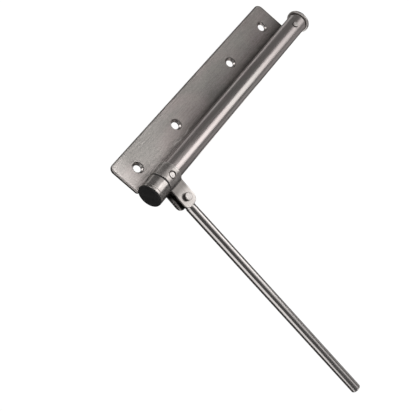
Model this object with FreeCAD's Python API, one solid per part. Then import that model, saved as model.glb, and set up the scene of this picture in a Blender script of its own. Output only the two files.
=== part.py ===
import FreeCAD, Part
import math
import os

V = FreeCAD.Vector

# Spring door closer, tube type. The plate's back lies on z = 0 and +Z points out of the mounting face.
# +Y runs along the tube from the lever to the tension cap, and the origin is the middle of the screw line.

# Mounting plate
PLATE_LENGTH = 219.0
PLATE_THICK = 2.5
PLATE_SCREW_EDGE = 15.2
PLATE_PAST_AXIS = 4.0
PLATE_CORNER_R = 4.8
PLATE_SMALL_CORNER_R = 2.0
PLATE_EDGE_R = 0.9
SCREW_OUTER_HALF = 93.0
SCREW_INNER_HALF = 41.0
SCREW_HOLE_D = 6.0
SCREW_SINK_D = 9.4

# Tube and its tack welds
TUBE_D = 16.0
TUBE_WALL = 1.2
TUBE_X = 19.5
TUBE_TOP = 115.0
TUBE_END_BREAK = 0.3
WELD_R = 1.7
WELD_LENGTH = 7.0
WELD_OUT = 6.6
WELD_RISE = 0.9
WELD_PLACES = (83.5, 31.5, -49.0)

# Fits
RUN_FIT = 0.05
AXIAL_FIT = 0.1
CLEAR = 0.35

# Lever bracket, bent from one strap, laid out with the lever pointing along +X
LEVER_REST_ANGLE = 15.0
LEVER_Y = -89.7
STRAP_WIDTH = 13.8
STRAP_THICK = 1.5
BEND_R = 2.0
EAR_REACH = 27.4
EAR_TIP_R = 5.0
STRAP_EDGE_R = 0.4
NOTCH_GAP = 1.0

# Rod and its rivet
ROD_D = 8.0
ROD_LENGTH = 208.0
ROD_REST_ANGLE = 2.2
ROD_SIDE_GAP = 0.15
ROD_HEEL_R = 5.0
ROD_HEEL_D = 7.3
ROD_SHOULDER = 1.2
ROD_END_BREAK = 0.7
PIVOT_EDGE = 7.4
RIVET_D = 5.0
RIVET_STUB_D = 6.4
RIVET_STUB_HEIGHT = 2.6
RIVET_HEAD_D = 8.0
RIVET_HEAD_HEIGHT = 1.6
RIVET_EDGE_R = 0.5

# Spindle, its bush and ring, and the drive pin
SPINDLE_LAP = 1.0
BUSH_WALL = 1.75
TAIL_LENGTH = 9.0
TAIL_BREAK = 0.5
BUSH_FLANGE = 1.0
BUSH_LENGTH = 12.0
RING_THICK = 1.0
RING_CLEAR = 0.5
RING_GROOVE_DEPTH = 0.4
RING_GAP = 2.4
SHOULDER = 1.2
DRIVE_PIN_D = 5.0
DRIVE_HOLE_D = 6.4
DRIVE_PIN_DEPTH = 0.35
PIN_EDGE_R = 0.5

# End collar, its spacer washer and plug
WASHER_THICK = 1.3
WASHER_INSET = 0.25
COLLAR_PROUD = 0.15
COLLAR_WALL = 3.2
COLLAR_LENGTH = 12.1
COLLAR_LIP = 2.0
COLLAR_GROOVE_WIDTH = 0.5
COLLAR_GROOVE_DEPTH = 0.3
COLLAR_EDGE_BREAK = 0.2
PLUG_INSET = 0.2
PLUG_THICK = 1.0
PLUG_SPIGOT_LENGTH = 3.0
PLUG_EDGE_R = 0.5

# Tension cap and pin
CAP_LIP = 1.7
CAP_THICK = 2.4
CAP_NECK_INSET = 0.5
CAP_NECK = 0.4
CAP_SHANK = 18.5
CAP_EDGE_BREAK = 0.5
CAP_SLOT_WIDTH = 2.5
CAP_SLOT_LENGTH = 12.0
CAP_SLOT_DEPTH = 2.5
TENSION_PIN_D = 4.0
TENSION_PIN_Y = 103.5
TENSION_PIN_SEAT = 2.5
TENSION_PIN_STUB = 1.6
TENSION_STEPS = 4

# Torsion spring, square wire
WIRE = 2.2
SPRING_CLEAR = 0.8
SPRING_TURNS = 24
TANG = 2.0
TANG_FIT = 0.1
NOSE_CLEAR = 0.6
NOSE_LENGTH = 7.5

# Sizes that follow
TUBE_R = TUBE_D / 2
BORE_R = TUBE_R - TUBE_WALL
JOURNAL_D = 2 * (BORE_R - BUSH_WALL - RUN_FIT)
RING_D = 2 * (BORE_R - RING_CLEAR)
RING_GROOVE_D = JOURNAL_D - 2 * RING_GROOVE_DEPTH
SPRING_MEAN_D = 2 * (BORE_R - SPRING_CLEAR) - WIRE
NOSE_D = SPRING_MEAN_D - WIRE - 2 * NOSE_CLEAR
CAP_D = TUBE_D + 2 * CAP_LIP
CAP_NECK_D = TUBE_D - 2 * CAP_NECK_INSET
TUBE_Z = PLATE_THICK + TUBE_R
STRAP_IN_R = TUBE_R + RUN_FIT
STRAP_OUT_R = STRAP_IN_R + STRAP_THICK
WASHER_D = 2 * (STRAP_OUT_R - WASHER_INSET)
COLLAR_D = 2 * (STRAP_OUT_R + COLLAR_PROUD)
PLUG_D = COLLAR_D - 2 * PLUG_INSET
PLUG_SPIGOT_D = COLLAR_D - 2 * COLLAR_WALL
PIVOT_REACH = EAR_REACH - PIVOT_EDGE
EAR_IN = ROD_HEEL_D / 2 + ROD_SIDE_GAP
EAR_OUT = EAR_IN + STRAP_THICK
STRAP_TOP = LEVER_Y + STRAP_WIDTH / 2
STRAP_BOTTOM = LEVER_Y - STRAP_WIDTH / 2
TUBE_BOTTOM = STRAP_TOP - SPINDLE_LAP
HEAD_TOP = TUBE_BOTTOM - BUSH_FLANGE - AXIAL_FIT
BUSH_TOP = TUBE_BOTTOM + BUSH_LENGTH
RING_BOTTOM = BUSH_TOP + AXIAL_FIT
RING_TOP = RING_BOTTOM + RING_THICK
SHOULDER_Y = RING_TOP + SHOULDER
COLLAR_TOP = STRAP_BOTTOM - WASHER_THICK
COLLAR_BOTTOM = COLLAR_TOP - COLLAR_LENGTH
CAP_SHANK_BOTTOM = TUBE_TOP - CAP_SHANK
AXIS = V(TUBE_X, 0, TUBE_Z)


def rod_y(diameter, low, high):
    """Cylinder on the tube axis between two heights."""
    return Part.makeCylinder(diameter / 2, high - low, V(TUBE_X, low, TUBE_Z), V(0, 1, 0))


def turned(profile):
    """Solid of revolution round the tube axis from points of radius and height."""
    points = [V(TUBE_X + r, y, TUBE_Z) for r, y in profile]
    face = Part.Face(Part.makePolygon(points + points[:1]))
    return face.revolve(AXIS, V(0, 1, 0), 360)


def across(diameter, low, high, x, y):
    """Cylinder standing along Z between two distances from the tube axis."""
    return Part.makeCylinder(diameter / 2, high - low, V(TUBE_X + x, y, TUBE_Z + low), V(0, 0, 1))


def upright_edges(shape, x, y):
    """Edges of a flat piece that stand along Z at one corner."""
    found = []
    for edge in shape.Edges:
        box = edge.BoundBox
        near = abs(box.Center.x - x) < 0.01 and abs(box.Center.y - y) < 0.01
        if near and box.XLength < 0.01 and box.YLength < 0.01:
            found.append(edge)
    return found


def rim_edges(strap):
    """Edges that run round the strap's outline on both of its faces."""
    found = []
    for edge in strap.Edges:
        box = edge.BoundBox
        on_side = box.YLength < 0.01 and min(abs(box.YMin - STRAP_BOTTOM), abs(box.YMin - STRAP_TOP)) < 0.01
        at_tip = box.ZLength < 0.01 and box.XMin > TUBE_X + EAR_REACH - EAR_TIP_R - 0.01
        standing = box.XLength < 0.01 and box.YLength < 0.01
        if (on_side or at_tip) and not standing:
            found.append(edge)
    return found


def laid(shape):
    """A piece of the lever, turned from the layout position to its rest."""
    shape.rotate(AXIS, V(0, 1, 0), LEVER_REST_ANGLE)
    return shape


def mounting_plate():
    """Flat plate with four countersunk holes, cut back at one corner so that lever and collar clear it."""
    left = -PLATE_SCREW_EDGE
    right = TUBE_X + PLATE_PAST_AXIS
    half = PLATE_LENGTH / 2
    swing = COLLAR_D / 2 + NOTCH_GAP
    notch_x = TUBE_X - math.sqrt(swing ** 2 - TUBE_R ** 2)
    notch_y = STRAP_TOP + NOTCH_GAP
    corners = [(left, -half), (notch_x, -half), (notch_x, notch_y), (right, notch_y), (right, half),
               (left, half)]
    points = [V(x, y, 0) for x, y in corners]
    plate = Part.Face(Part.makePolygon(points + points[:1])).extrude(V(0, 0, PLATE_THICK))
    free = upright_edges(plate, left, -half) + upright_edges(plate, left, half)
    plate = plate.makeFillet(PLATE_CORNER_R, free)
    hidden = []
    for x, y in corners[1:5]:
        hidden += upright_edges(plate, x, y)
    plate = plate.makeFillet(PLATE_SMALL_CORNER_R, hidden)
    rim = [e for e in plate.Edges if e.BoundBox.ZMin > PLATE_THICK - 0.01]
    plate = plate.makeFillet(PLATE_EDGE_R, rim)
    sink = (SCREW_SINK_D - SCREW_HOLE_D) / 2
    for y in (-SCREW_OUTER_HALF, -SCREW_INNER_HALF, SCREW_INNER_HALF, SCREW_OUTER_HALF):
        hole = Part.makeCylinder(SCREW_HOLE_D / 2, PLATE_THICK + 2, V(0, y, -1))
        cone = Part.makeCone(SCREW_HOLE_D / 2, SCREW_SINK_D / 2 + 1, sink + 1, V(0, y, PLATE_THICK - sink))
        plate = plate.cut(hole).cut(cone)
    return plate


def barrel_tube():
    """Plain tube with broken outer edges and one radial hole for the tension pin."""
    b = TUBE_END_BREAK
    low = TUBE_BOTTOM
    tube = turned([(BORE_R, low), (TUBE_R - b, low), (TUBE_R, low + b), (TUBE_R, TUBE_TOP - b),
                   (TUBE_R - b, TUBE_TOP), (BORE_R, TUBE_TOP)])
    return tube.cut(across(TENSION_PIN_D + 2 * RUN_FIT, 0, TUBE_D, 0, TENSION_PIN_Y))


def tack_welds():
    """Three short beads in the corner between tube and plate, on the screw side."""
    beads = []
    tube = rod_y(TUBE_D, -PLATE_LENGTH, PLATE_LENGTH)
    x = TUBE_X - WELD_OUT
    z = PLATE_THICK + WELD_RISE
    for y in WELD_PLACES:
        bead = Part.makeCylinder(WELD_R, WELD_LENGTH, V(x, y - WELD_LENGTH / 2, z), V(0, 1, 0))
        rims = [e for e in bead.Edges if e.Closed]
        bead = bead.makeChamfer(0.5 * WELD_R, rims)
        corner = V(x - TUBE_D, y - WELD_LENGTH, PLATE_THICK - TUBE_D)
        below = Part.makeBox(2 * TUBE_D, 2 * WELD_LENGTH, TUBE_D, corner)
        beads.append(bead.cut(tube).cut(below))
    return Part.makeCompound(beads)


def tension_cap():
    """Turned cap: shank in the tube, ring of blind pin holes, driver slot in the face, slotted nose."""
    b = CAP_EDGE_BREAK
    shank_r = BORE_R - RUN_FIT
    base = TUBE_TOP + CAP_NECK
    top = base + CAP_THICK
    cap = turned([(0, CAP_SHANK_BOTTOM - NOSE_LENGTH), (NOSE_D / 2, CAP_SHANK_BOTTOM - NOSE_LENGTH),
                  (NOSE_D / 2, CAP_SHANK_BOTTOM), (shank_r, CAP_SHANK_BOTTOM), (shank_r, TUBE_TOP),
                  (CAP_NECK_D / 2, TUBE_TOP), (CAP_NECK_D / 2, base), (CAP_D / 2 - b, base),
                  (CAP_D / 2, base + b), (CAP_D / 2, top - b), (CAP_D / 2 - b, top), (0, top)])
    hole = across(TENSION_PIN_D + 2 * RUN_FIT, TENSION_PIN_SEAT, CAP_D, 0, TENSION_PIN_Y)
    for step in range(TENSION_STEPS):
        turned_hole = hole.copy()
        turned_hole.rotate(AXIS, V(0, 1, 0), 360.0 * step / TENSION_STEPS)
        cap = cap.cut(turned_hole)
    run = CAP_SLOT_LENGTH - CAP_SLOT_WIDTH
    floor = top - CAP_SLOT_DEPTH
    corner = V(TUBE_X - run / 2, floor, TUBE_Z - CAP_SLOT_WIDTH / 2)
    slot = Part.makeBox(run, CAP_SLOT_DEPTH + 1, CAP_SLOT_WIDTH, corner)
    for x in (-run / 2, run / 2):
        end = V(TUBE_X + x, floor, TUBE_Z)
        slot = slot.fuse(Part.makeCylinder(CAP_SLOT_WIDTH / 2, CAP_SLOT_DEPTH + 1, end, V(0, 1, 0)))
    low = CAP_SHANK_BOTTOM - NOSE_LENGTH
    return cap.cut(slot).cut(nose_slot(low - 1, CAP_SHANK_BOTTOM - CLEAR))


def nose_slot(low, high):
    """Slot through a spring nose that takes the spring's straight end."""
    wide = TANG + 2 * TANG_FIT
    return Part.makeBox(2 * NOSE_D, high - low, wide, V(TUBE_X - NOSE_D, low, TUBE_Z - wide / 2))


def tension_pin():
    """Plain pin through the tube wall into the cap, standing a little proud."""
    low = TENSION_PIN_SEAT
    high = TUBE_R + TENSION_PIN_STUB
    pin = across(TENSION_PIN_D, low, high, 0, TENSION_PIN_Y)
    tip = [e for e in pin.Edges if e.Closed]
    return pin.makeFillet(PIN_EDGE_R, tip)


def torsion_spring():
    """Square wire wound on a helix between the two shoulders, each end turned across into a slot."""
    r = SPRING_MEAN_D / 2
    low = SHOULDER_Y + WIRE / 2 + CLEAR
    high = CAP_SHANK_BOTTOM - WIRE / 2 - CLEAR
    pitch = (high - low) / SPRING_TURNS
    path = Part.makeHelix(pitch, high - low, r)
    h = WIRE / 2
    corners = [V(r - h, 0, -h), V(r + h, 0, -h), V(r + h, 0, h), V(r - h, 0, h)]
    section = Part.makePolygon(corners + corners[:1])
    coil = Part.Wire(path).makePipeShell([section], True, True)
    for z in (0, high - low):
        bar = Part.makeBox(1.6 * r + 0.6 * h, TANG, TANG, V(-0.6 * r, -TANG / 2, z - TANG / 2))
        coil = coil.fuse(bar)
    coil.rotate(V(0, 0, 0), V(1, 0, 0), -90)
    coil.translate(V(TUBE_X, low, TUBE_Z))
    return coil


def spindle():
    """Turned spindle: tail in the collar, head in the strap, journal in the bush, slotted spring nose."""
    j = JOURNAL_D / 2
    head_r = TUBE_R
    tail = COLLAR_TOP - TAIL_LENGTH
    nose = SHOULDER_Y + NOSE_LENGTH
    groove = RING_GROOVE_D / 2
    body = turned([(0, tail), (j - TAIL_BREAK, tail), (j, tail + TAIL_BREAK), (j, STRAP_BOTTOM),
                   (head_r, STRAP_BOTTOM), (head_r, HEAD_TOP), (j, HEAD_TOP), (j, RING_BOTTOM),
                   (groove, RING_BOTTOM), (groove, RING_TOP), (j, RING_TOP), (j, SHOULDER_Y),
                   (NOSE_D / 2, SHOULDER_Y), (NOSE_D / 2, nose), (0, nose)])
    body = body.cut(across(DRIVE_PIN_D, -TUBE_D, TUBE_D, 0, LEVER_Y))
    body = laid(body)
    return body.cut(nose_slot(SHOULDER_Y + CLEAR, nose + 1))


def spindle_bush():
    """Flanged bush pressed into the tube's lower end."""
    bore = JOURNAL_D / 2 + RUN_FIT
    flange = STRAP_IN_R - CLEAR
    low = TUBE_BOTTOM - BUSH_FLANGE
    return turned([(bore, low), (flange, low), (flange, TUBE_BOTTOM), (BORE_R, TUBE_BOTTOM),
                   (BORE_R, BUSH_TOP), (bore, BUSH_TOP)])


def retaining_ring():
    """Open ring in the spindle's groove that keeps the spindle in the bush."""
    ring = rod_y(RING_D, RING_BOTTOM, RING_TOP).cut(rod_y(RING_GROOVE_D, RING_BOTTOM - 1, RING_TOP + 1))
    gap = Part.makeBox(RING_D, RING_THICK + 2, RING_GAP, V(TUBE_X, RING_BOTTOM - 1, TUBE_Z - RING_GAP / 2))
    return laid(ring.cut(gap))


def lever_bracket():
    """One strap wrapped round the spindle head, its ends bent back out into two parallel ears."""
    centre = EAR_OUT + BEND_R
    bend_x = math.sqrt((STRAP_OUT_R + BEND_R) ** 2 - centre ** 2)
    toward = math.atan2(centre, bend_x)

    def at(x, z):
        return V(TUBE_X + x, STRAP_BOTTOM, TUBE_Z + z)

    def on_ring(r, side):
        return at(r * math.cos(toward), side * r * math.sin(toward))

    def on_bend(r, side):
        mid = (toward + math.pi + 1.5 * math.pi) / 2
        return at(bend_x + r * math.cos(mid), side * (centre + r * math.sin(mid)))

    outer = BEND_R
    inner = BEND_R + STRAP_THICK
    edges = [
        Part.LineSegment(at(EAR_REACH, EAR_OUT), at(bend_x, EAR_OUT)),
        Part.Arc(at(bend_x, EAR_OUT), on_bend(outer, 1), on_ring(STRAP_OUT_R, 1)),
        Part.Arc(on_ring(STRAP_OUT_R, 1), at(-STRAP_OUT_R, 0), on_ring(STRAP_OUT_R, -1)),
        Part.Arc(on_ring(STRAP_OUT_R, -1), on_bend(outer, -1), at(bend_x, -EAR_OUT)),
        Part.LineSegment(at(bend_x, -EAR_OUT), at(EAR_REACH, -EAR_OUT)),
        Part.LineSegment(at(EAR_REACH, -EAR_OUT), at(EAR_REACH, -EAR_IN)),
        Part.LineSegment(at(EAR_REACH, -EAR_IN), at(bend_x, -EAR_IN)),
        Part.Arc(at(bend_x, -EAR_IN), on_bend(inner, -1), on_ring(STRAP_IN_R, -1)),
        Part.Arc(on_ring(STRAP_IN_R, -1), at(-STRAP_IN_R, 0), on_ring(STRAP_IN_R, 1)),
        Part.Arc(on_ring(STRAP_IN_R, 1), on_bend(inner, 1), at(bend_x, EAR_IN)),
        Part.LineSegment(at(bend_x, EAR_IN), at(EAR_REACH, EAR_IN)),
        Part.LineSegment(at(EAR_REACH, EAR_IN), at(EAR_REACH, EAR_OUT)),
    ]
    wire = Part.Wire([e.toShape() for e in edges])
    strap = Part.Face(wire).extrude(V(0, STRAP_WIDTH, 0))
    tip = TUBE_X + EAR_REACH
    tips = upright_edges(strap, tip, STRAP_BOTTOM) + upright_edges(strap, tip, STRAP_TOP)
    strap = strap.makeFillet(EAR_TIP_R, tips)
    strap = strap.makeFillet(STRAP_EDGE_R, rim_edges(strap))
    strap = strap.cut(across(RIVET_D, -TUBE_D, TUBE_D, PIVOT_REACH, LEVER_Y))
    strap = strap.cut(across(DRIVE_HOLE_D, -TUBE_D, TUBE_D, 0, LEVER_Y))
    return laid(strap)


def drive_pin():
    """Cross pin that ties the strap to the spindle, its ends just below the strap's surface."""
    end = STRAP_OUT_R - DRIVE_PIN_DEPTH
    pin = across(DRIVE_PIN_D, -end, end, 0, LEVER_Y)
    rims = [e for e in pin.Edges if e.Closed]
    return laid(pin.makeFillet(PIN_EDGE_R, rims))


def spacer_washer():
    """Thin dark washer between strap and collar."""
    return turned([(JOURNAL_D / 2, COLLAR_TOP), (WASHER_D / 2, COLLAR_TOP), (WASHER_D / 2, STRAP_BOTTOM),
                   (JOURNAL_D / 2, STRAP_BOTTOM)])


def end_collar():
    """Collar on the spindle's tail, with a fine groove above its lip and a socket for the plug."""
    j = JOURNAL_D / 2
    r = COLLAR_D / 2
    low = COLLAR_BOTTOM
    lip = low + COLLAR_LIP
    step = low + PLUG_SPIGOT_LENGTH
    g = COLLAR_GROOVE_WIDTH
    b = COLLAR_EDGE_BREAK
    return turned([(j, COLLAR_TOP), (r - b, COLLAR_TOP), (r, COLLAR_TOP - b), (r, lip + g),
                   (r - COLLAR_GROOVE_DEPTH, lip + g / 2), (r, lip), (r, low + b), (r - b, low),
                   (PLUG_SPIGOT_D / 2, low), (PLUG_SPIGOT_D / 2, step), (j, step)])


def end_plug():
    """Black plug pressed into the collar, its flat head covering the end."""
    low = COLLAR_BOTTOM
    head = rod_y(PLUG_D, low - PLUG_THICK, low)
    rim = [e for e in head.Edges if e.Closed and e.BoundBox.YMax < low - 0.1]
    head = head.makeFillet(PLUG_EDGE_R, rim)
    return head.fuse(rod_y(PLUG_SPIGOT_D, low, low + PLUG_SPIGOT_LENGTH - AXIAL_FIT)).removeSplitter()


def rod_rivet():
    """Rivet through ears and rod: a plain stub on the front, a low head on the back."""
    stub = across(RIVET_STUB_D, EAR_OUT, EAR_OUT + RIVET_STUB_HEIGHT, PIVOT_REACH, LEVER_Y)
    top = [e for e in stub.Edges if e.Closed and e.BoundBox.ZMin > TUBE_Z + EAR_OUT + 0.1]
    stub = stub.makeFillet(RIVET_EDGE_R, top)
    shank = across(RIVET_D, -EAR_OUT, EAR_OUT, PIVOT_REACH, LEVER_Y)
    head = across(RIVET_HEAD_D, -EAR_OUT - RIVET_HEAD_HEIGHT, -EAR_OUT, PIVOT_REACH, LEVER_Y)
    low = [e for e in head.Edges if e.Closed and e.BoundBox.ZMax < TUBE_Z - EAR_OUT - 0.1]
    head = head.makeFillet(0.75 * RIVET_HEAD_HEIGHT, low)
    return laid(stub.fuse(shank).fuse(head))


def lever_rod():
    """Round rod, its rounded heel turned down and cross drilled, with a broken edge at the free end."""
    x = TUBE_X + PIVOT_REACH
    shoulder = PIVOT_EDGE + ROD_SHOULDER
    bar = Part.makeCylinder(ROD_D / 2, ROD_LENGTH - shoulder, V(x + shoulder, LEVER_Y, TUBE_Z), V(1, 0, 0))
    tip = [e for e in bar.Edges if e.Closed and e.BoundBox.XMin > x + shoulder + 1]
    bar = bar.makeFillet(ROD_END_BREAK, tip)
    start = V(x - ROD_HEEL_R, LEVER_Y, TUBE_Z)
    neck = Part.makeCylinder(ROD_HEEL_D / 2, ROD_HEEL_R + shoulder, start, V(1, 0, 0))
    heel = Part.makeCylinder(ROD_HEEL_R, 2 * ROD_D, V(x, LEVER_Y, TUBE_Z - ROD_D))
    ahead = Part.makeBox(shoulder, 2 * ROD_D, 2 * ROD_D, V(x, LEVER_Y - ROD_D, TUBE_Z - ROD_D))
    rod = bar.fuse(neck.common(heel.fuse(ahead)))
    rod = rod.cut(across(RIVET_D + 2 * RUN_FIT, -ROD_D, ROD_D, PIVOT_REACH, LEVER_Y))
    rod.rotate(V(x, LEVER_Y, TUBE_Z), V(0, 0, 1), ROD_REST_ANGLE)
    return laid(rod)


PIECES = {
    "mounting_plate": mounting_plate,
    "barrel_tube": barrel_tube,
    "tack_welds": tack_welds,
    "tension_cap": tension_cap,
    "tension_pin": tension_pin,
    "torsion_spring": torsion_spring,
    "spindle": spindle,
    "spindle_bush": spindle_bush,
    "retaining_ring": retaining_ring,
    "lever_bracket": lever_bracket,
    "drive_pin": drive_pin,
    "spacer_washer": spacer_washer,
    "end_collar": end_collar,
    "end_plug": end_plug,
    "rod_rivet": rod_rivet,
    "lever_rod": lever_rod,
}

os.makedirs("parts", exist_ok=True)
for name, make in PIECES.items():
    shape = make()
    shape.exportStep("parts/" + name + ".step")
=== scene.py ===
import math

import bpy
import numpy as np
from mathutils import Matrix, Vector


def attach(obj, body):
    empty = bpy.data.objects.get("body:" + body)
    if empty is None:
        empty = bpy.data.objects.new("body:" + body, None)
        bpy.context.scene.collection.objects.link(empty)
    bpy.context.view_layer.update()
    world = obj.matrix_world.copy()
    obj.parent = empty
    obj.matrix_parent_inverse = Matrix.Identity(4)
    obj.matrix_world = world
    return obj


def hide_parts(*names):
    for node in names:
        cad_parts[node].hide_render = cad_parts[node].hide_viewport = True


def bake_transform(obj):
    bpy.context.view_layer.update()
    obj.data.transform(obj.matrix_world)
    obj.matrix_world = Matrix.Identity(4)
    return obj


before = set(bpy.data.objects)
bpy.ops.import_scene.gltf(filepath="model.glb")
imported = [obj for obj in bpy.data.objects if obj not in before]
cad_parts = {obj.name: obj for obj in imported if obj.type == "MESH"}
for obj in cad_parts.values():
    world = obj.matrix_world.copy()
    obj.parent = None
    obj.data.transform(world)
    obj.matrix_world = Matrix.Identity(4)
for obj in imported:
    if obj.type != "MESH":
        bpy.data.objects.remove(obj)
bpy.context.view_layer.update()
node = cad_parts
scene = bpy.context.scene

MM = 0.001

# The tube's axis and the lever, in millimetres and radians
AXIS_X, AXIS_Z = 19.5, 10.5
LEVER_Y = -89.7
TILT = math.radians(15.0)


class Wire:
    """A socket in a node tree. Arithmetic adds Math nodes, and node() adds any other node."""

    def __init__(self, tree, socket=None):
        self.tree = tree
        self.socket = socket

    def node(self, kind, settings, values, out=0):
        """Adds a node, applies its settings, fills its sockets with numbers or links,
        and wraps one output."""
        made = self.tree.nodes.new(kind)
        for name, value in settings.items():
            setattr(made, name, value)
        for key, value in values.items():
            if isinstance(value, Wire):
                self.tree.links.new(value.socket, made.inputs[key])
            else:
                made.inputs[key].default_value = value
        return Wire(self.tree, made.outputs[out])

    def maths(self, operation, a, b=0.0):
        return self.node("ShaderNodeMath", {"operation": operation}, {0: a, 1: b})

    def __add__(self, other):
        return self.maths("ADD", self, other)

    def __sub__(self, other):
        return self.maths("SUBTRACT", self, other)

    def __rsub__(self, other):
        return self.maths("SUBTRACT", other, self)

    def __mul__(self, other):
        return self.maths("MULTIPLY", self, other)

    def __pow__(self, other):
        return self.maths("POWER", self, other)

    __radd__ = __add__
    __rmul__ = __mul__

    def part(self, where, axis):
        """One axis of a vector."""
        return self.node("ShaderNodeSeparateXYZ", {}, {"Vector": where}, axis)

    def size(self):
        """The value without its sign."""
        return self.maths("ABSOLUTE", self)

    def step(self, low, high):
        """A smooth rise from 0 to 1 between two values."""
        return self.node("ShaderNodeMapRange", {"interpolation_type": "SMOOTHSTEP"},
                         {"Value": self, "From Min": low, "From Max": high,
                          "To Min": 0.0, "To Max": 1.0})

    def mix(self, factor, a, b):
        """Colour a where factor is 0 and colour b where it is 1."""
        return self.node("ShaderNodeMix", {"data_type": "RGBA"}, {0: factor, 6: a, 7: b}, 2)

    def grain(self, where, stretch, turn=(0, 0, 0), detail=4.0):
        """Noise whose cells are stretched along the axes after a turn."""
        laid = self.node("ShaderNodeMapping", {}, {"Vector": where, "Rotation": turn})
        laid = self.node("ShaderNodeMapping", {}, {"Vector": laid, "Scale": stretch})
        return self.node("ShaderNodeTexNoise", {},
                         {"Vector": laid, "Scale": 1.0, "Detail": detail, "Roughness": 0.6})


def finish(name, build, metallic=1.0):
    """A material. build(wire, where) gets the Object coordinates, and returns wires for colour,
    roughness and height, and the height's depth in metres."""
    material = bpy.data.materials.new(name)
    material.use_nodes = True
    tree = material.node_tree
    shader = tree.nodes["Principled BSDF"]
    wire = Wire(tree)
    where = wire.node("ShaderNodeTexCoord", {}, {}, "Object")
    colour, rough, height, depth = build(wire, where)
    normal = wire.node("ShaderNodeBump", {}, {"Strength": 1.0, "Distance": depth, "Height": height})
    tree.links.new(colour.socket, shader.inputs["Base Color"])
    tree.links.new(rough.socket, shader.inputs["Roughness"])
    tree.links.new(normal.socket, shader.inputs["Normal"])
    shader.inputs["Metallic"].default_value = metallic
    return material


def rgb(r, g, b):
    return (r, g, b, 1.0)


# Colours that more than one finish uses: painted shade for crevices, painted shade for edges and a
# painted highlight
CREVICE_SHADE = rgb(0.06, 0.055, 0.052)
EDGE_SHADE = rgb(0.06, 0.056, 0.053)
PAINTED_HIGHLIGHT = rgb(0.95, 0.93, 0.91)

# Plate, in metres
PLATE_EDGE_X = -0.0152
PLATE_END_Y = 0.1095
SCREW_PLACES = (0.093, 0.041)
SINK_R = 0.0048
SCUFF_X = 0.0092


def plate_brushing(w, where):
    """Short fine strokes along the tube over faint blotches, with painted shade towards the tube
    and the upper end, a painted light on the lower end, side faces painted dark as their shade,
    edges rolled over by the shear and smooth drilled sinks."""
    fine = w.grain(where, (2600, 70, 2600))
    speck = w.grain(where, (1500, 600, 1500), detail=2.0)
    cloud = w.grain(where, (45, 26, 45), detail=2.0)
    x, y, z = (w.part(where, axis) for axis in "XYZ")

    dark, light = rgb(0.26, 0.245, 0.235), rgb(0.77, 0.735, 0.71)
    tone = fine * 0.40 + speck * 0.35 + cloud * 0.25
    colour = w.mix(tone.step(0.32, 0.68), dark, light)
    greenish, rosy = rgb(0.475, 0.478, 0.458), rgb(0.555, 0.500, 0.492)
    tint = w.grain(where, (28, 17, 28), detail=3.0).step(0.40, 0.60)
    colour = w.mix(0.5, colour, w.mix(tint, greenish, rosy))

    # Painted shade: darker towards the tube's side, more so up the plate, and a little darker over
    # the whole upper part
    corner = x.step(-0.014, 0.014)
    upper = y.step(-0.07, -0.02)
    bright = (1.0 - corner * (0.12 + 0.43 * upper)) * (1.0 - 0.1 * upper)
    colour = w.mix(bright, rgb(0.03, 0.028, 0.027), colour)
    # Painted light: the lower end of the plate is lightened as if more light fell on it
    low_end_light = 1.0 - y.step(-PLATE_END_Y + 0.001, -SCREW_PLACES[0] + 0.001)
    colour = w.mix(low_end_light * 0.5, colour, rgb(0.86, 0.83, 0.81))

    wander = (w.grain(where, (30, 45, 30), detail=3.0) - 0.5) * 0.006
    beside = 1.0 - (x - SCUFF_X - wander).size().step(0.0001, 0.0009)
    broken = w.grain(where, (260, 60, 260), detail=3.0).step(0.48, 0.62)
    broken = broken * (1.0 - y.step(-0.045, -0.02))
    colour = w.mix(beside * broken * 0.5, colour, rgb(0.95, 0.92, 0.90))

    drilled = 0.0
    for place in SCREW_PLACES:
        off_hole = x ** 2.0 + (y.size() - place) ** 2.0
        drilled = drilled + (1.0 - off_hole.step(SINK_R ** 2, (SINK_R + 0.0001) ** 2))
    above_back = z.step(0.0001, 0.0003)
    drilled = drilled * (1.0 - z.step(0.0020, 0.0024)) * above_back
    colour = w.mix(drilled * 0.8, colour, rgb(0.60, 0.58, 0.565))
    # Painted shade: the plate's side faces are painted near black as their shade
    side_face_shade = (1.0 - drilled) * (1.0 - z.step(0.0013, 0.0019)) * above_back
    colour = w.mix(side_face_shade * 0.75, colour, EDGE_SHADE)

    roll = x.step(PLATE_EDGE_X, PLATE_EDGE_X + 0.0014)
    roll = roll * y.step(-PLATE_END_Y, -PLATE_END_Y + 0.0023)
    roll = roll * (1.0 - y.step(PLATE_END_Y - 0.0019, PLATE_END_Y))
    rough = (0.32 + fine * 0.10 + cloud * 0.06) * (1.0 - drilled) + 0.27 * drilled
    height = (fine * 0.8 + speck * 0.2 + roll * 1.1) * (1.0 - drilled)
    return colour, rough, height, 0.0003


# Tube and cap, in metres
TUBE_R = 0.008
STRAP_TOP_Y = -0.0828
TENSION_PIN_Y = 0.1035
CAP_FLANGE_Y = 0.1150
CAP_END_Y = 0.1178


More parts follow.
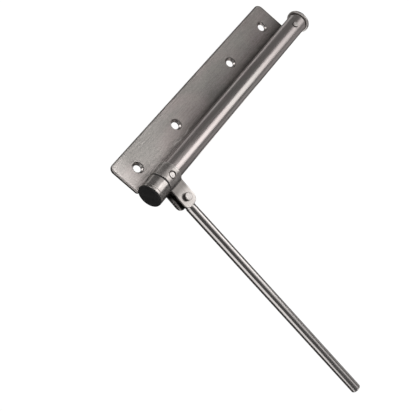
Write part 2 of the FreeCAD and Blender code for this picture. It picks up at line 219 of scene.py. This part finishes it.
def tube_drawing(w, where):
    """Fine drawn lines along the tube, duller towards the cap and painted lighter there, with
    painted shade in a line above the strap and in a ring round the tension pin."""
    fine = w.grain(where, (3000, 30, 3000))
    cloud = w.grain(where, (60, 20, 60), detail=2.0)
    x, y, z = (w.part(where, axis) for axis in "XYZ")

    dark, light = rgb(0.46, 0.435, 0.422), rgb(0.73, 0.70, 0.69)
    colour = w.mix((fine * 0.7 + cloud * 0.3).step(0.3, 0.7), dark, light)
    greenish, rosy = rgb(0.585, 0.580, 0.560), rgb(0.605, 0.550, 0.545)
    tint = w.grain(where, (40, 22, 40), detail=3.0).step(0.42, 0.58)
    colour = w.mix(0.5, colour, w.mix(tint, greenish, rosy))

    # Painted shade: a dark line on the tube just above the strap's step
    strap_step_shade = 1.0 - y.step(STRAP_TOP_Y + 0.0002, STRAP_TOP_Y + 0.0011)
    colour = w.mix(strap_step_shade * 0.6, colour, CREVICE_SHADE)
    upper = y.step(0.0, 0.11)
    # Painted light: the tube's colour is lightened towards the cap, where its flank looks lit
    colour = w.mix(upper * 0.12, colour, rgb(0.86, 0.83, 0.82))
    # Painted shade: a dark ring on the tube round the foot of the tension pin
    off_pin = (x - AXIS_X * MM) ** 2.0 + (y - TENSION_PIN_Y) ** 2.0
    pin_ring_shade = z.step(0.0160, 0.0180) * upper * (1.0 - off_pin.step(0.0022 ** 2, 0.0030 ** 2))
    colour = w.mix(pin_ring_shade * 0.7, colour, CREVICE_SHADE)
    return colour, 0.22 + fine * 0.08 + cloud * 0.05 + upper * 0.07, fine, 0.000006


def turned_lines(w, where):
    """Rings left by the turning tool, across the tube's length. The cap's flange is paler and
    duller, with painted shade in its inner corner and along its outer edge."""
    fine = w.grain(where, (60, 5200, 60), detail=3.0)
    cloud = w.grain(where, (120, 120, 120), detail=2.0)
    x, y, z = (w.part(where, axis) for axis in "XYZ")

    dark, light = rgb(0.45, 0.43, 0.415), rgb(0.60, 0.58, 0.565)
    colour = w.mix((fine * 0.06 + cloud * 0.94).step(0.25, 0.75), dark, light)
    flange = y.step(CAP_FLANGE_Y - 0.0004, CAP_FLANGE_Y + 0.0002)
    colour = w.mix(flange * 0.6, colour, rgb(0.84, 0.82, 0.80))
    off_axis = (x - AXIS_X * MM) ** 2.0 + (z - AXIS_Z * MM) ** 2.0
    # Painted shade: a dark ring in the corner where the flange meets the tube
    flange_corner_shade = flange * (1.0 - off_axis.step((TUBE_R + 0.0003) ** 2, (TUBE_R + 0.0008) ** 2))
    flange_corner_shade = flange_corner_shade * (1.0 - y.step(CAP_FLANGE_Y + 0.0006, CAP_FLANGE_Y + 0.0010))
    colour = w.mix(flange_corner_shade * 0.8, colour, rgb(0.05, 0.046, 0.044))
    # Painted shade: a dark outline along the flange's outer edge
    flange_edge_shade = y.step(CAP_END_Y - 0.0010, CAP_END_Y - 0.0005)
    flange_edge_shade = flange_edge_shade * off_axis.step((TUBE_R + 0.0010) ** 2, (TUBE_R + 0.0013) ** 2)
    colour = w.mix(flange_edge_shade * 0.8, colour, EDGE_SHADE)
    return colour, 0.22 + cloud * 0.04 + flange * 0.16, fine, 0.0000004


def lever_frame(w, where):
    """Distance along the lever from the tube's axis, and height above the lever's middle plane."""
    x = w.part(where, "X") - AXIS_X * MM
    z = w.part(where, "Z") - AXIS_Z * MM
    along = x * math.cos(TILT) - z * math.sin(TILT)
    lift = x * math.sin(TILT) + z * math.cos(TILT)
    return along, lift


def strap_brushing(w, where):
    """Strokes along the lever's length, the inside of the fold unbrushed and painted near black as
    the shade between the ears, a painted highlight on the upper rim, painted shade at the root of
    the bends, a painted highlight on the lower ear's rougher border and painted shade on its cut
    edge."""
    fine = w.grain(where, (55, 2400, 2400), turn=(0, -TILT, 0))
    cloud = w.grain(where, (90, 160, 160), turn=(0, -TILT, 0), detail=2.0)
    along, lift = lever_frame(w, where)
    y = w.part(where, "Y")
    flank = (y - LEVER_Y * MM).size()

    past_bend = along.step(0.0095, 0.0115)
    within = 1.0 - lift.size().step(0.0040, 0.0043)
    lower = 1.0 - lift.step(-0.0037, -0.0034)
    border = flank.step(0.0040, 0.0046)
    # Painted shade: the faces inside the fold between the ears are painted near black
    inside = within * past_bend * (1.0 - lower * border * 0.85)
    inside = inside * (1.0 - flank.step(0.0058, 0.0062) * (1.0 - lower))

    dark, light = rgb(0.42, 0.40, 0.385), rgb(0.72, 0.70, 0.68)
    colour = w.mix((fine * 0.6 + cloud * 0.4).step(0.3, 0.7), dark, light)
    # Painted highlight: a light band along the strap's upper rim
    rim_highlight = y.step(STRAP_TOP_Y - 0.0012, STRAP_TOP_Y - 0.0006)
    colour = w.mix(rim_highlight * 0.7, colour, rgb(0.90, 0.87, 0.85))
    # Painted shade: darker at the root of the bends, where the strap turns into the ears
    root = (1.0 - along.step(0.0115, 0.0190)) * along.step(0.0065, 0.0085)
    colour = w.mix(root * 0.76, colour, rgb(0.10, 0.095, 0.09))
    colour = w.mix(inside * 0.9, colour, rgb(0.05, 0.047, 0.045))
    # Painted highlight: the lower ear's border is painted light, and made rougher
    border_highlight = lower * within * border * along.step(0.013, 0.018)
    colour = w.mix(border_highlight, colour, PAINTED_HIGHLIGHT)
    # Painted shade: the lower ear's outer edge face is painted near black
    cut_edge_shade = lower * flank.step(0.0060, 0.0064) * past_bend
    colour = w.mix(cut_edge_shade * 0.85, colour, rgb(0.04, 0.038, 0.036))
    return colour, 0.25 + fine * 0.16 + inside * 0.1 + border_highlight * 0.45, fine, 0.000008


# Rod: how far it leans off the lever's line, in radians, and where its heel ends, in metres
ROD_LEAN = 0.038
HEEL_END = 0.0262


def rod_polish(w, where):
    """Bright drawn bar with faint lines along it, the heel between the ears painted near black as
    its shade, and rougher there.
    """
    fine = w.grain(where, (24, 2600, 2600), turn=(0, -TILT, -ROD_LEAN), detail=3.0)
    cloud = w.grain(where, (40, 200, 200), detail=2.0)
    along = lever_frame(w, where)[0]
    # Painted shade: the heel between the ears is painted near black
    heel_shade = (1.0 - along.step(HEEL_END, HEEL_END + 0.0014)) * 0.88
    dark, light = rgb(0.60, 0.585, 0.575), rgb(0.72, 0.705, 0.695)
    colour = w.mix((fine * 0.5 + cloud * 0.5).step(0.3, 0.7), dark, light)
    colour = w.mix(heel_shade, colour, rgb(0.04, 0.037, 0.035))
    return colour, 0.13 + fine * 0.07 + cloud * 0.03 + heel_shade * 0.25, fine, 0.000003


def pin_polish(w, where):
    """Bright pin ends with small marks."""
    fine = w.grain(where, (900, 900, 900), detail=3.0)
    cloud = w.grain(where, (300, 300, 300), detail=2.0)
    dark, light = rgb(0.36, 0.345, 0.335), rgb(0.66, 0.645, 0.63)
    colour = w.mix((fine * 0.5 + cloud * 0.5).step(0.3, 0.7), dark, light)
    return colour, 0.20 + fine * 0.16, fine, 0.00002


def shaded_foot(w, where, lift, low, high):
    """Pin polish painted dark below a height as the shade at its foot, and rougher there."""
    colour, rough, height, depth = pin_polish(w, where)
    # Painted shade: dark below the given height
    foot = 1.0 - lift.step(low, high)
    colour = w.mix(foot * 0.85, colour, rgb(0.035, 0.033, 0.03))
    return colour, rough + foot * 0.15, height, depth


def rivet_polish(w, where):
    """Bright rivet ends, with painted shade round the foot of the stub and of the head."""
    lift = lever_frame(w, where)[1]
    return shaded_foot(w, where, lift.size(), 0.0062, 0.0077)


def tension_pin_polish(w, where):
    """Pin end with a painted highlight on top and painted shade where it enters the tube."""
    z = w.part(where, "Z")
    colour, rough, height, depth = shaded_foot(w, where, z, 0.0184, 0.0193)
    # Painted highlight: the pin's top is painted light
    top_highlight = z.step(0.0193, 0.0197)
    return w.mix(top_highlight * 0.8, colour, PAINTED_HIGHLIGHT), rough, height, depth


def weld_skin(w, where):
    """Dull bead with ripples across it and a brown heat tint."""
    ripple = w.grain(where, (300, 1600, 300), detail=2.0)
    cloud = w.grain(where, (450, 450, 450), detail=3.0)
    colour = w.mix(cloud.step(0.3, 0.7), rgb(0.36, 0.32, 0.28), rgb(0.62, 0.60, 0.57))
    return colour, 0.30 + cloud * 0.2, ripple * 0.6 + cloud * 0.4, 0.00006


def spring_oil(w, where):
    """Dark oiled wire with draw marks."""
    fine = w.grain(where, (700, 700, 700), detail=3.0)
    cloud = w.grain(where, (150, 150, 150), detail=2.0)
    dark, light = rgb(0.20, 0.19, 0.18), rgb(0.38, 0.365, 0.35)
    colour = w.mix((fine * 0.5 + cloud * 0.5).step(0.3, 0.7), dark, light)
    return colour, 0.22 + cloud * 0.16, fine, 0.00001


def nylon_skin(w, where):
    """Off-white moulded bush, faintly mottled."""
    cloud = w.grain(where, (500, 500, 500), detail=3.0)
    colour = w.mix(cloud, rgb(0.74, 0.72, 0.66), rgb(0.84, 0.83, 0.78))
    return colour, 0.45 + cloud * 0.15, cloud, 0.00001


def black_moulding(w, where):
    """Matt black plastic with a fine moulded grain."""
    grain = w.grain(where, (1500, 1500, 1500), detail=3.0)
    cloud = w.grain(where, (160, 160, 160), detail=2.0)
    dark, light = rgb(0.003, 0.003, 0.0032), rgb(0.009, 0.0088, 0.009)
    colour = w.mix((grain * 0.5 + cloud * 0.5).step(0.3, 0.7), dark, light)
    return colour, 0.48 + grain * 0.2, grain, 0.00002


finish_of = {
    "mounting_plate": finish("plate_steel", plate_brushing),
    "barrel_tube": finish("tube_steel", tube_drawing),
    "tack_welds": finish("weld_steel", weld_skin),
    "tension_cap": finish("turned_steel", turned_lines),
    "tension_pin": finish("tension_pin_steel", tension_pin_polish),
    "drive_pin": finish("pin_steel", pin_polish),
    "torsion_spring": finish("spring_steel", spring_oil),
    "spindle_bush": finish("pale_nylon", nylon_skin, metallic=0.0),
    "lever_bracket": finish("strap_steel", strap_brushing),
    "end_plug": finish("black_plastic", black_moulding, metallic=0.0),
    "lever_rod": finish("rod_steel", rod_polish),
    "rod_rivet": finish("rivet_steel", rivet_polish),
}
finish_of["spindle"] = finish_of["tension_cap"]
finish_of["end_collar"] = finish_of["tension_cap"]
finish_of["retaining_ring"] = finish_of["torsion_spring"]
finish_of["spacer_washer"] = finish_of["end_plug"]
for name, piece in node.items():
    piece.data.materials.clear()
    piece.data.materials.append(finish_of[name])


# New pieces, worked out in millimetres
def closed_skin(rings, low_tip, high_tip, start):
    """Points and faces of a skin over rings of points, one ring after the other along a path,
    closed by one point at each end. Point numbers count from start."""
    count, around = rings.shape[:2]
    points = np.concatenate([rings.reshape(-1, 3), [low_tip, high_tip]])
    here = np.arange(around)
    there = np.roll(here, -1)
    row = np.arange(count - 1)[:, None] * around
    above = row + around
    quads = np.stack([row + here, row + there, above + there, above + here], axis=-1)
    low = np.stack([np.full(around, count * around), there, here], axis=-1)
    top = (count - 1) * around
    high = np.stack([top + here, top + there, np.full(around, count * around + 1)], axis=-1)
    kinds = (quads.reshape(-1, 4), low, high)
    return points, [face for kind in kinds for face in (kind + start).tolist()]


def smooth_piece(name, points, faces, material):
    """An object at the origin from points in millimetres, smooth shaded."""
    mesh = bpy.data.meshes.new(name)
    mesh.from_pydata((points * MM).tolist(), [], faces)
    mesh.shade_smooth()
    mesh.materials.append(material)
    piece = bpy.data.objects.new(name, mesh)
    scene.collection.objects.link(piece)
    return piece


# Tack welds
WELD_PLACES = (83.5, 31.5, -49.0)
WELD_HALF_LENGTH = 3.5
WELD_CENTRE = np.array((13.4, 0.0, 3.3))
WELD_ALONG = np.array((0.0, 1.0, 0.0))
WELD_OUT = np.array((-0.8, 0.0, 0.6))
WELD_UP = np.array((0.6, 0.0, 0.8))
WELD_CROWN = 1.5
WELD_SPREAD = 2.3
WELD_BLUNTNESS = 2.6
WELD_ROWS, WELD_AROUND = 90, 48
RIPPLE_DEPTH, RIPPLE_RATE, RIPPLE_DELAY = 0.06, 19.0, 1.7
LUMP_DEPTH, LUMP_RATE = 0.03, 7.0


def weld_bead(place, shift, start):
    """A flattened egg in the corner between tube and plate. Its section is an ellipse, wide from
    plate to tube. The section's size follows the root of one minus the distance from the middle
    to the power of the bluntness. Crescent ripples add a sine of the distance along the bead,
    delayed at the crown, and lumps add a slower sine that winds round it."""
    u = np.linspace(-1.0, 1.0, WELD_ROWS)[1:-1, None]
    v = np.linspace(0.0, 2.0 * np.pi, WELD_AROUND, endpoint=False)[None, :]
    ripple = RIPPLE_DEPTH * np.sin(RIPPLE_RATE * u + RIPPLE_DELAY * np.cos(v) + shift)
    lump = LUMP_DEPTH * np.sin(LUMP_RATE * u + 2.0 * v + 3.0 * shift)
    swell = np.sqrt(1.0 - np.abs(u) ** WELD_BLUNTNESS) * (1.0 + ripple + lump)
    out = (WELD_CROWN * np.cos(v) * swell)[..., None] * WELD_OUT
    up = (WELD_SPREAD * np.sin(v) * swell)[..., None] * WELD_UP
    middle = WELD_CENTRE + place * WELD_ALONG
    rings = middle + (u * WELD_HALF_LENGTH)[..., None] * WELD_ALONG + out + up
    low_tip = middle - WELD_HALF_LENGTH * WELD_ALONG
    high_tip = middle + WELD_HALF_LENGTH * WELD_ALONG
    return closed_skin(rings, low_tip, high_tip, start)


points, faces = [], []
for shift, place in enumerate(WELD_PLACES):
    bead_points, bead_faces = weld_bead(place, shift, sum(len(p) for p in points))
    points.append(bead_points)
    faces += bead_faces
welds = smooth_piece("weld_beads", np.concatenate(points), faces, finish_of["tack_welds"])
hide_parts("tack_welds")
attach(welds, "base")


# Torsion spring
COIL_LOW, COIL_HIGH = -68.05, 95.05
COIL_R = 4.9
COIL_TURNS = 24
COIL_STEPS = 40
CLIMB_EASE = 0.01
SPRING_WIRE_R = 0.99
TANG_BACK = 2.9
TANG_BEND_R = 1.6
TANG_STEPS, BEND_STEPS = 7, 12


def spring_path():
    """The wire's middle line. A straight tang crosses the axis along +X, an arc turns it into the
    coil, the coil is a circle round the axis that climbs along +Y, and the same arc and tang,
    mirrored, end it. The arc touches the tang's line and the circle from inside, so its middle
    lies sqrt((R - b)^2 - b^2) along the tang, with R the coil's radius and b the arc's. The climb
    starts and stops gently."""
    middle = math.sqrt((COIL_R - TANG_BEND_R) ** 2 - TANG_BEND_R ** 2)
    lead = math.atan2(TANG_BEND_R, middle)
    tang = np.linspace(-TANG_BACK, middle, TANG_STEPS)[:-1]
    bend = np.linspace(-math.pi / 2, lead, BEND_STEPS)[:-1]
    turn = np.linspace(lead, 2 * math.pi * COIL_TURNS - lead, COIL_TURNS * COIL_STEPS)
    straight = np.stack([tang, np.zeros(len(tang))], -1)
    arc = TANG_BEND_R * np.stack([np.cos(bend), np.sin(bend)], -1) + (middle, TANG_BEND_R)
    coil = COIL_R * np.stack([np.cos(turn), np.sin(turn)], -1)
    start = np.concatenate([straight, arc])
    flat = np.concatenate([start, coil, start[::-1] * (1, -1)])
    share = np.linspace(0.0, 1.0, len(turn))
    climb = np.cumsum(np.minimum(np.minimum(share, 1.0 - share) / CLIMB_EASE, 1.0))
    climb = (climb - climb[0]) / (climb[-1] - climb[0])
    climb = np.concatenate([np.zeros(len(start)), climb, np.ones(len(start))])
    height = COIL_LOW + (COIL_HIGH - COIL_LOW) * climb
    return np.stack([AXIS_X + flat[:, 0], height, AXIS_Z - flat[:, 1]], -1)


def round_wire(path, radius, around=12):
    """A circle carried along a path. It stands square to the path, and one of its arms is square
    to Y as well."""
    ahead = np.gradient(path, axis=0)
    ahead /= np.linalg.norm(ahead, axis=1)[:, None]
    side = np.cross(ahead, (0.0, 1.0, 0.0))
    side /= np.linalg.norm(side, axis=1)[:, None]
    rise = np.cross(ahead, side)
    v = np.arange(around) * 2 * np.pi / around
    arms = side[:, None] * np.cos(v)[:, None] + rise[:, None] * np.sin(v)[:, None]
    return path[:, None] + radius * arms


wire_line = spring_path()
wire_rings = round_wire(wire_line, SPRING_WIRE_R)
points, faces = closed_skin(wire_rings, wire_line[0], wire_line[-1], 0)
spring = smooth_piece("wound_spring", points, faces, finish_of["torsion_spring"])
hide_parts("torsion_spring")
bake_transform(spring)


# Floor, in metres
FLOOR_Z = -0.0565
FLOOR_FLAT = 3.5
FLOOR_BEND = 2.0
FLOOR_WALL = 4.0


def turned_up_paper(around=72, arc=10):
    """A round sheet that lies flat and turns up into a far wall. The radius is
    flat + bend * sin(t) and the height low + bend * (1 - cos(t)) for t from 0 to a quarter turn,
    then the wall goes straight up, and the whole line is carried round the Z axis."""
    t = np.linspace(0.0, np.pi / 2, arc)
    edge = FLOOR_FLAT + FLOOR_BEND
    radius = np.append(FLOOR_FLAT + FLOOR_BEND * np.sin(t), edge)
    height = np.append(FLOOR_Z + FLOOR_BEND * (1 - np.cos(t)), FLOOR_Z + FLOOR_BEND + FLOOR_WALL)
    turn = np.arange(around) * 2 * np.pi / around
    rings = np.stack([np.outer(radius, np.cos(turn)), np.outer(radius, np.sin(turn)),
                      np.outer(height, np.ones(around))], -1)
    here = np.arange(around)
    there = np.roll(here, -1)
    row = around * np.arange(arc)[:, None]
    above = row + around
    quads = np.stack([above + here, above + there, row + there, row + here], -1)
    sheet = bpy.data.meshes.new("floor")
    sheet.from_pydata(rings.reshape(-1, 3).tolist(), [],
                      [here.tolist()] + quads.reshape(-1, 4).tolist())
    return sheet


sheet = turned_up_paper()
floor = bpy.data.objects.new("floor", sheet)
scene.collection.objects.link(floor)
paper = bpy.data.materials.new("pale_floor")
paper.use_nodes = True
shader = paper.node_tree.nodes["Principled BSDF"]
shader.inputs["Base Color"].default_value = rgb(0.03, 0.03, 0.03)
shader.inputs["Roughness"].default_value = 0.9
shader.inputs["Specular IOR Level"].default_value = 0.0
shader.inputs["Emission Color"].default_value = rgb(1, 1, 1)
shader.inputs["Emission Strength"].default_value = 1.0
sheet.materials.append(paper)
floor.visible_glossy = False
floor.visible_shadow = False


# Light
LAMP_WHITE = (1.0, 0.965, 0.95)
ALONG_TUBE, UPRIGHT = (0, 1, 0), (0, 0, 1)
MIDDLE = (0.03, 0.0, 0.0)
UNDER_TUBE = (0.02, 0.045, 0.0)
ROD_MIDDLE = (0.19, -0.08, -0.03)


def softbox(name, toward, along, distance, wide, tall, radiance, at=MIDDLE):
    """An even rectangular lamp that faces a point from one direction, its tall side laid along a
    given way."""
    lamp = bpy.data.lights.new(name, "AREA")
    lamp.shape = "RECTANGLE"
    lamp.size = wide
    lamp.size_y = tall
    lamp.energy = radiance * math.pi * wide * tall
    lamp.color = LAMP_WHITE
    aim = Vector(toward).normalized()
    side = Vector(along).cross(aim).normalized()
    thing = bpy.data.objects.new(name, lamp)
    thing.matrix_world = Matrix((side, aim.cross(side), aim)).transposed().to_4x4()
    thing.matrix_world.translation = Vector(at) + aim * distance
    thing.visible_camera = False
    scene.collection.objects.link(thing)


softbox("key_box", (0.376, 0.54, 0.755), ALONG_TUBE, 1.2, 0.80, 0.76, 1.5)
softbox("top_box", (-0.12, -0.03, 0.99), ALONG_TUBE, 0.33, 0.30, 0.22, 1.4)
softbox("left_box", (-0.80, 0.573, -0.18), UPRIGHT, 0.9, 0.60, 0.22, 0.42)
softbox("side_box", (-0.926, -0.09, 0.371), ALONG_TUBE, 0.8, 0.30, 0.40, 2.2)
softbox("cap_bounce", (0, 0, -1), ALONG_TUBE, 0.05, 0.10, 0.10, 1.0, at=UNDER_TUBE)
softbox("right_box", (0.72, 0.69, -0.08), UPRIGHT, 0.65, 0.30, 0.30, 0.25)
softbox("rod_box", (0.65, 0.16, 0.74), ALONG_TUBE, 0.9, 0.60, 0.34, 0.5, at=ROD_MIDDLE)
softbox("front_box", (0.33, -0.94, -0.08), UPRIGHT, 1.3, 0.80, 0.90, 1.0)
softbox("far_left_box", (-0.66, 0.72, -0.22), UPRIGHT, 0.95, 0.25, 0.28, 0.34)
softbox("front_fill", (-0.25, -0.90, 0.36), UPRIGHT, 1.3, 1.00, 0.36, 1.5)
softbox("right_fill", (0.94, -0.05, 0.34), UPRIGHT, 1.2, 0.90, 0.40, 1.5)

world = bpy.data.worlds.new("studio")
scene.world = world
world.use_nodes = True
sky = world.node_tree.nodes["Background"]
air = Wire(world.node_tree)
way = air.node("ShaderNodeTexCoord", {}, {}, "Generated")
glow = 0.05 + 0.03 * air.part(way, "Z").step(-0.9, -0.1) + 0.05 * air.part(way, "Y").step(-0.5, 0.6)
world.node_tree.links.new(glow.socket, sky.inputs["Strength"])
sky.inputs["Color"].default_value = rgb(*LAMP_WHITE)
scene.view_settings.view_transform = "Standard"


# Camera, its focal length and shift measured in pixels of the picture
PICTURE = 411
FOCAL_LENGTH = 1060.22
SHIFT = 0.5

lens = bpy.data.cameras.new("camera")
lens.sensor_width = 36.0
lens.lens = FOCAL_LENGTH / PICTURE * lens.sensor_width
lens.shift_x = -SHIFT / PICTURE
lens.shift_y = SHIFT / PICTURE
lens.clip_start = 0.01
right = Vector((0.75462, 0.50926, 0.41376))
up = Vector((-0.65331, 0.64184, 0.40153))
back = Vector((-0.06108, -0.57332, 0.81705))
eye = Vector((0.008337, -0.522415, 0.633838))
camera = bpy.data.objects.new("camera", lens)
camera.matrix_world = Matrix((right, up, back)).transposed().to_4x4()
camera.matrix_world.translation = eye
scene.collection.objects.link(camera)
scene.camera = camera
